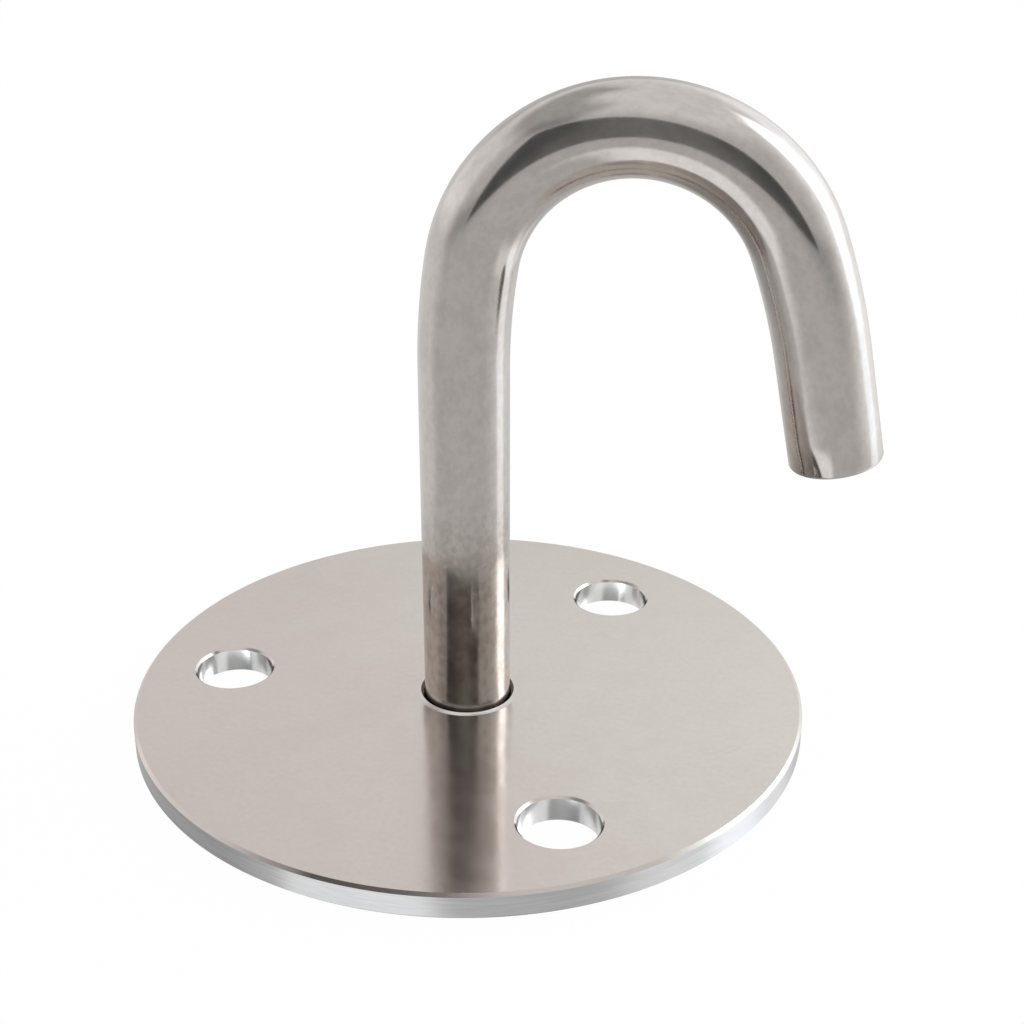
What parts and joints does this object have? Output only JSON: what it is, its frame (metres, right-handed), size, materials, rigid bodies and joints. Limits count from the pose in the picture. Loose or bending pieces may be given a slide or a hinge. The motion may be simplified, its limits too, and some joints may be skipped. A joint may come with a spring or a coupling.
{
  "type": "ceiling hook",
  "caption": "Open hook bent from a round steel bar that stands at the centre of a flat round plate with screw holes, for hanging a load from a ceiling.",
  "frame": {"origin": "centre of the plate's back face, which beds on the ceiling, at the centre of the screw-hole circle", "axes": "+Z from the back face along the hook's stem, away from the ceiling; +X to the side that the hook bends over to, opposite to the single screw hole; the hook lies in the XZ plane"},
  "size_m": [0.084, 0.078, 0.0753],
  "materials": {
    "plate_steel": "barrel-polished stainless sheet, satin, with a faint grain",
    "bar_steel": "barrel-polished stainless round bar, semi-bright",
    "weld_steel": "stainless weld bead with a fine ripple"
  },
  "bodies": {
    "root": {"mounting_plate": "plate_steel", "hook_bar": "bar_steel", "back_weld": "weld_steel"}
  },
  "joints": []
}
